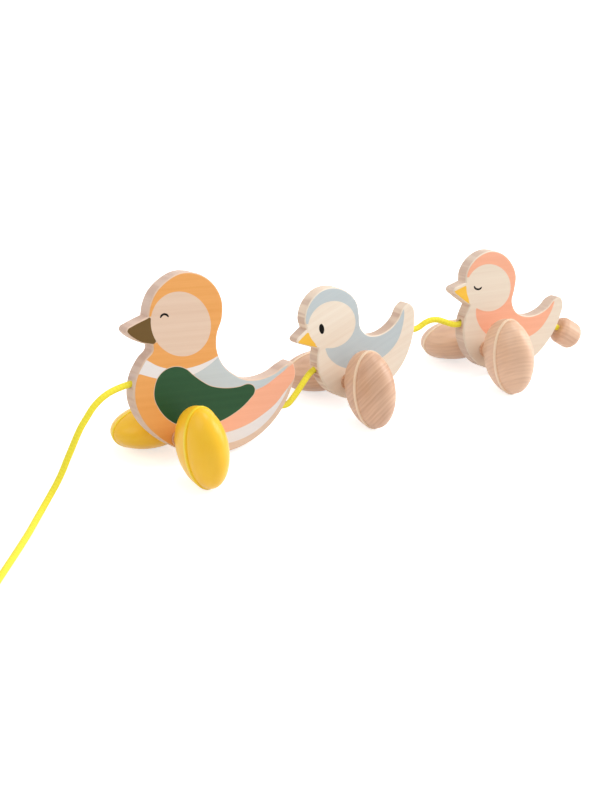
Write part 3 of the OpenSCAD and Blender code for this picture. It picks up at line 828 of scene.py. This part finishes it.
# %% Cut and mark a board
solid_steps, board_steps, skin_gap = 3, 9, 0.05
face_depth, edge_from, edge_fade = 0.2, 0.6, 0.7
cord_hole_r, mouth_r, hole_depth = 2.12, 2.8, 14.0
round_in = np.radians(np.linspace(0, np.degrees(np.arccos(cord_hole_r / mouth_r)), 5))
straight_hole = [(0, cord_hole_r), (-hole_depth, cord_hole_r), (-hole_depth, 0)]
flared_hole = [*zip(-mouth_r * np.sin(round_in), mouth_r * np.cos(round_in)), *straight_hole[1:]]


def make_board(duck, knots, length, breast, tail, nod, fields, finish, slot, grain_turn, grain_shift):
    """A drilled, marked board in its duck's place, a hair smaller than the solid. Gives its scale.

    grain_turn turns the grain down to the back, in degrees. grain_shift is its place in the wood.
    """
    size = length / np.ptp(closed_curve(knots, solid_steps)[:, 0])
    outline = moved_in(closed_curve(knots, board_steps) * size, skin_gap)
    breast_parts, breast_run = hole_parts(outline, breast, size, straight_hole)
    tail_parts, tail_run = hole_parts(outline, tail, size, flared_hole)
    walls = wall_part(outline, np.concatenate([breast_run[:-1], tail_run[:-1]]))
    mesh = sewn(duck + "_board", [walls, *face_parts(outline), *breast_parts, *tail_parts])
    points = np.empty(3 * len(mesh.vertices))
    mesh.vertices.foreach_get("co", points)
    points = points.reshape(-1, 3)
    deep = board_t / 2 - np.abs(points[:, 1])
    on_face = deep < face_depth
    marks = {"block": points @ turning(grain_turn) + grain_shift,
             "sawn_edge": np.clip((deep - edge_from) / edge_fade, 0, 1)}
    scaled = [(name, field * size) for name, field in fields]
    for name, depth in painted_by(points[on_face][:, [0, 2]], scaled, outline).items():
        marks[name] = np.full(len(points), -1.0)
        marks[name][on_face] = np.clip(depth, -1, 1)
    mesh.vertices.foreach_set("co", stood(points, duck, nod).ravel())
    mesh.update()
    dress(duck + "_board", mesh, duck, slot, finish, (duck + "_body",), None, marks)
    return size


# %% Three boards
mother_tail, duckling_tail = (75.3, -0.3, -20), (59.6, 4.6, -27)
mother_size = make_board(
    "mother", mother_knots, 114.3, (-24.9, 39.4, 180), mother_tail, 0, mother_fields, mother_finish,
    "mother_board", 9, (0, 31, 17))
size_1 = make_board(
    "duckling_1", duckling_knots, 86.5, (-17.3, 18, 180), duckling_tail, duckling_1_nod,
    duckling_fields, grey_finish, "grey_board", 0, (90, 58, -27))
size_2 = make_board(
    "duckling_2", duckling_knots, 89.5, (-16.7, 20.8, 180), duckling_tail, 0, duckling_fields,
    peach_finish, "peach_board", 5, (-120, 12, 66))

# %% [markdown]
# ## Eyes
# The mother and the last duckling have a curved stroke for an eye, the first duckling a black
# oval. They are far finer than the spacing of the painted points, so each is a very thin piece
# of its own, a few hundredths of a millimetre proud of both faces, like a thick print. The black
# oval is a grid of rings from pole to pole, and so are the wheels and drums further on.

# %% Eye finish
eye_finish, tree, shader = new_finish("eye_black")
speck = noise(tree, own_place(tree), 1500.0)
colour = mixed(tree, speck, ink(10, 8, 7), ink(22, 19, 17))
set_look(tree, shader, colour, between(tree, speck, 0.6, 0.75), 0.1)
print("eye finish ready")

# %% Rings from pole to pole, for eyes, wheels and drums
def ovals(stations, columns):
    """A closed surface of ovals across the second axis.

    Each station is (place, half width, half height), and a point is (half width * cos, place,
    half height * sin). The first and last stations are poles.
    """
    s = np.array(stations, float)
    angle = -round_angles(columns)
    place, wide, high = np.moveaxis(s[1:-1, None], -1, 0)
    ring = np.stack([wide * np.cos(angle), place + 0 * angle, high * np.sin(angle)], axis=-1)
    poles = s[[0, -1], :1] * [0, 1, 0]
    return np.concatenate([ring.reshape(-1, 3), poles]), closed_grid(len(s) - 2, columns)


# %% Eye strokes and ovals
eye_width, stroke_high, stroke_step, stroke_columns = 1.3, 0.03, 0.12, 12
span_steps, taper, thinnest = 16, 6, 0.05
oval_high, oval_rows, oval_columns = 0.04, 13, 40


def eye_stroke(points, side):
    """A flat printed stroke, thinner at both ends: an oval, half sunk in the board, per path point."""
    line = smooth_path(np.insert(np.array(points, float), 1, 0.0, axis=1), span_steps)
    line, at = even_path(line, stroke_step)
    way = unit(np.gradient(line[:, [0, 2]], axis=0))
    across = np.stack([-way[:, 1], 0 * at, way[:, 0]], axis=-1)
    half = eye_width / 2 * np.sqrt(np.clip(1 - np.abs(2 * at / at[-1] - 1) ** taper, thinnest, 1))
    angle = round_angles(stroke_columns)[:, None]
    flat = (across * half[:, None])[:, None] * np.cos(angle)
    ring = flat - np.sin(angle) * [0, stroke_high, 0]
    body = line[:, None] + [0, side * board_t / 2, 0] + ring
    ends = body[[0, -1]].mean(axis=1)
    return np.concatenate([body.reshape(-1, 3), ends]), closed_grid(len(line), stroke_columns)


def eye_oval(centre, wide, high, turn, side):
    """A thin lens on a face, turned forward by turn degrees: ovals that grow and shrink again."""
    a = np.radians(np.linspace(0, 180, oval_rows))
    rows = np.stack([-oval_high * np.cos(a), wide / 2 * np.sin(a), high / 2 * np.sin(a)], axis=-1)
    points, faces = ovals(rows, oval_columns)
    return points @ turning(turn) + [centre[0], side * board_t / 2, centre[1]], faces


# %% Six eyes
mother_eye = [(-2.3, 75.5), (-1.2, 76.8), (0.4, 77.2), (2.1, 76.5), (3.3, 74.9)]
duckling_2_eye = [(-7.1, 45.2), (-6.3, 43.5), (-4.6, 42.5), (-2.5, 42.4), (-0.9, 43.4)]
for side, hand in ((-1, "left"), (1, "right")):
    for duck, nod, slot, (points, faces) in (
            ("mother", 0, "mother_board", eye_stroke(mother_eye, side)),
            ("duckling_2", 0, "peach_board", eye_stroke(duckling_2_eye, side)),
            ("duckling_1", duckling_1_nod, "grey_board", eye_oval((-3.4, 41.8), 3.7, 6.8, -14, side))):
        make_piece(duck + "_eye_" + hand, stood(points, duck, nod), faces, duck, slot, eye_finish)

# %% [markdown]
# ## Wheels
# A wheel is a stretched egg: an oval rim between a flat outer dome and a deep inner one. Turned
# wheels are round, so these were shaped, and a fine step runs round the rim. The shape is a grid of
# ovals: down the outer dome, over the rim and up the inner dome to the hub. The mother's are
# lacquered yellow; the ducklings' are bare beech, with reddish lines across. Both rims get a
# painted highlight: their colour is mixed towards a lighter tone. One log differs from the next,
# so a mark says how ripe the wood of a wheel is: the riper, the darker it is, and the stronger its
# grain.

# %% Yellow lacquer
yellow_finish, tree, shader = new_finish("yellow_lacquer")
flow = noise(tree, marked(tree, "block", 1), 0.12)
colour = mixed(tree, flow, ink(255, 203, 44), ink(255, 197, 38))
# Painted highlight: the rim is mixed towards a lighter yellow, where its crest catches the light.
colour = mixed(tree, marked(tree, "rim", 2), colour, ink(255, 221, 50))
set_look(tree, shader, colour, between(tree, flow, 0.28, 0.36), 0.38)
set_bump(tree, shader, 0.15, 0.0002, flow)
print("yellow lacquer ready")

# %% Oiled beech
beech_finish, tree, shader = new_finish("oiled_beech")
tone, height = grain(tree, marked(tree, "block", 1), 40.0, 2.6, 0.5)
ripeness = marked(tree, "ripe", 2)
strength = sums(tree, "ADD", sums(tree, "MULTIPLY", ripeness, 0.3), 0.4)
figure = sums(tree, "MULTIPLY", sums(tree, "SUBTRACT", tone, 0.5), strength)
tone = sums(tree, "ADD", figure, sums(tree, "MULTIPLY", ripeness, 0.5))
colour = mixed(tree, tone, ink(236, 194, 161), ink(182, 131, 101))
# Painted highlight: the rim is mixed towards a pale cream, where its crest catches the light.
pale = sums(tree, "MULTIPLY", marked(tree, "rim", 2), 0.85)
colour = mixed(tree, pale, colour, ink(250, 224, 194))
set_look(tree, shader, colour, between(tree, tone, 0.36, 0.46), 0.65)
set_bump(tree, shader, 0.3, 0.00012, height)
print("oiled beech ready")

# %% Wheel shape
half_long, half_short, rim_half = 26.0, 13.6, 1.1
outer_dome, outer_step, inner_dome, inner_step = 19.0, 1.0, 25.4, 0.5
crown_h, rim_foot = 0.25, 0.02
dome_rows, rim_rows = 25, 13


def dome(depth, step):
    """Stations of a dome from its top to the rim: a quarter of an oval."""
    a = np.radians(np.linspace(0, 90, dome_rows))
    grow = np.sin(a)
    return np.stack([rim_half + (depth - rim_half) * np.cos(a), (half_short - step) * grow,
                     (half_long - step) * grow], axis=-1)


def wheel_stations():
    """Places and half axes from the outer dome's top, over the rim, to the inner dome's top.

    The rim is crowned by a quarter of a millimetre. Gives the stations, and 1 for those on the rim.
    """
    b = np.radians(np.linspace(0, 180, rim_rows))
    place = np.array([-rim_half, *(-rim_half * np.cos(b)), rim_half])
    inset = np.array([outer_step - rim_foot, *(crown_h * (1 - np.sin(b))), inner_step - rim_foot])
    rim = np.stack([place, half_short - inset, half_long - inset], axis=-1)
    outer, inner = dome(outer_dome, outer_step) * [-1, 1, 1], dome(inner_dome, inner_step)[::-1]
    on_rim = np.repeat([0.0, 1.0, 0.0], [len(outer), len(rim), len(inner)])
    return np.concatenate([outer, rim, inner]), on_rim


# %% Make a wheel
track, layer_bend = 67.2, 300
hub_r, hub_h, hub_sunk, hub_ease = 5.0, 1.4, 3, 0.2
wheel_columns, hub_columns = 96, 48


def make_wheel(duck, hand, finish, slot, tilt, slope, ripe, grain_shift):
    """One wheel: the left one stands tall, the right one lies flat, each with its hub to the board.

    tilt turns its layers of growth about the axle, in degrees, and slope is their rise along it. The
    layers bend: they rise by the square of the way along them.
    """
    stations, on_rim = wheel_stations()
    points, faces = ovals(stations, wheel_columns)
    y = inner_dome + np.array([-hub_sunk, -hub_sunk, hub_h - hub_ease, hub_h, hub_h])
    r = np.array([0, hub_r, hub_r, hub_r - hub_ease, 0])
    hub, hub_faces = ovals(np.stack([y, r, r], axis=-1), hub_columns)
    rim = np.concatenate([np.repeat(on_rim[1:-1], wheel_columns), [0, 0], 0 * hub[:, 0]])
    every = np.concatenate([points, hub])
    lie = turning(tilt)
    lie[1, 2] = slope
    block = every @ lie
    block[:, 2] += block[:, 0] ** 2 / layer_bend
    left = hand == "left"
    turned = every if left else every[:, [2, 1, 0]] * [1, -1, 1]
    placed = stood(turned + [0, (-1 if left else 1) * track / 2, 0], duck)
    name = duck + "_" + hand + "_wheel"
    joined = faces + [[c + len(points) for c in face] for face in hub_faces]
    make_piece(name + "_shaped", placed, joined, duck + "_wheels", slot, finish, (name,), None,
               {"block": block + grain_shift, "rim": rim, "ripe": 0 * rim + ripe})


# %% Six wheels
for duck, finish, slot, left_tilt, left_slope, ripe in (
        ("mother", yellow_finish, "yellow_wheel", 70, 0, 1.0),
        ("duckling_1", beech_finish, "beech", -30, 0.6, 0.75),
        ("duckling_2", beech_finish, "beech", 9, 0.45, 0.3)):
    for hand, tilt, slope in (("left", left_tilt, left_slope), ("right", 95, 0.1)):
        grain_shift = (len(duck) * 7.0, tilt * 1.3, len(slot) * 5.0)
        make_wheel(duck, hand, finish, slot, tilt, slope, ripe, grain_shift)

# %% [markdown]
# ## Drums
# The drums at both cord ends are turned from bare wood with well rounded rims. The frame's solids
# have that shape, but no marks for the grain, so grids of rings stand for them. One droops on the
# last tail, and the other lies on the floor beside the coil.

# %% Drum shape
drum_r, drum_len, drum_round = 9.5, 17.0, 4.5
drum_rows, drum_columns = 13, 64


def drum_stations(gap=0.02):
    """A drum's outline from one end to the other: flat, a quarter circle, straight, and back."""
    a = np.radians(np.linspace(0, 90, drum_rows))
    r, y = drum_r - drum_round * (1 - np.sin(a)) - gap, drum_round * (1 - np.cos(a))
    rows = np.stack([y, r, r], axis=-1)
    flat = np.array([(0, 0, 0), (0, cord_hole_r, cord_hole_r)])
    back = (rows * [-1, 1, 1] + [drum_len, 0, 0])[::-1]
    return np.concatenate([flat, rows, back, [(drum_len, 0, 0)]])


# %% Two drums
tail_gap, tail_droop = 5.5, 9.0
across, drum_faces = ovals(drum_stations(), drum_columns)
drum = np.stack([across[:, 1], -across[:, 0], across[:, 2]], axis=-1)
drum_marks = {"block": drum + [40, 22, 9], "rim": 0 * drum[:, 0], "ripe": 0 * drum[:, 0] + 0.6}
droop = (duckling_tail[0], duckling_tail[1], duckling_tail[2] - tail_droop)
mouth = np.array([droop[0] * size_2, 0, droop[1] * size_2])
hung = (drum + [tail_gap, 0, 0]) @ turning(droop[2]) + mouth
make_piece("tail_drum_turned", stood(hung, "duckling_2"), drum_faces,
           "tail_drum", "beech", beech_finish, ("tail_drum",), None, drum_marks)
a = np.radians(coil_from - 360 * coil_turns - 90)
run = np.array([np.cos(a), np.sin(a), 0])
lying = np.stack([run, np.cross([0, 0, 1], run), [0, 0, 1]])
drum_face = np.array([-355.483, -92.232, drum_r])
pull_drum = make_piece("pull_drum_turned", (drum @ lying + drum_face) / 1000, drum_faces,
                       "mother", "beech", beech_finish, ("pull_drum",), None, drum_marks)

# %% [markdown]
# ## Short cords in the tails
# The last drum hangs on a short bit of the same cord, and each tail hole hides a cord's glued
# end. They are straight, so a line along the hole's axis is path enough for the same tube.

# %% Short cords
knot_from, knot_to, tail_start, tail_end = -14, -2.8, -0.4, tail_gap + drum_len / 3
short_rings = 24


def straight_cord(name, duck, hole, size, nod, start, end, body, node):
    """A straight bit of braid on a hole's axis, from start to end, in millimetres from its mouth."""
    base = np.array([hole[0] * size, 0, hole[1] * size])
    at = np.linspace(start, end, short_rings)
    path = base + at[:, None] * turning(hole[2])[0]
    braid_on(name, 1000 * stood(path, duck, nod), at, body, (node,))


straight_cord("tail_cord_braid", "duckling_2", droop, size_2, 0, tail_start, tail_end, "tail_drum",
              "tail_cord")
for duck, hole, size, nod in (("mother", mother_tail, mother_size, 0),
                              ("duckling_1", duckling_tail, size_1, duckling_1_nod),
                              ("duckling_2", duckling_tail, size_2, 0)):
    straight_cord(duck + "_tail_knot", duck, hole, size, nod, knot_from, knot_to, duck,
                  duck + "_tail_anchor")

# %% [markdown]
# ## Axles, washers and the coil's tie
# The dowels, the washers and the paper band round the coil have the right shape in the frame, so
# they stay and only get finishes. These read Object coordinates, which move with the piece.

# %% Turned beech
pin_finish, tree, shader = new_finish("turned_beech")
here = add(tree, "Mapping", {"Vector": own_place(tree), "Scale": (1000, 1000, 1000),
                             "Rotation": (0, 0, 1.5)})[0]
tone, height = grain(tree, here, 8.0, 2.4, 0.3)
colour = mixed(tree, tone, ink(236, 196, 162), ink(204, 154, 122))
set_look(tree, shader, colour, between(tree, tone, 0.5, 0.65))
set_bump(tree, shader, 0.3, 0.0001, height)
print("turned beech ready")

# %% Paper tie, and finishes on the frame's nodes
paper_finish, tree, shader = new_finish("paper_tie")
pulp = noise(tree, own_place(tree), 700.0, 4.0)
colour = mixed(tree, pulp, ink(240, 235, 222), ink(222, 214, 198))
set_look(tree, shader, colour, between(tree, pulp, 0.75, 0.95))
set_bump(tree, shader, 0.3, 0.0001, pulp)

for name, node in frame["nodes"].items():
    finish = paper_finish if name == "coil_tie" else pin_finish
    node.data.materials.clear()
    node.data.materials.append(finish)
print("finishes on", len(frame["nodes"]), "frame nodes")

# %% [markdown]
# ## Sizes and the end
# Both boxes, of the frame's parts and of the dressed scene, are printed.

# %% Print both boxes
new_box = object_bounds()
boxes = {"cad": [[float(x) for x in corner] for corner in cad_box],
         "visual": [[float(x) for x in corner] for corner in new_box]}
for kind, box in boxes.items():
    print(kind, "box in mm:", (1000 * np.array(box)).round(2).tolist())
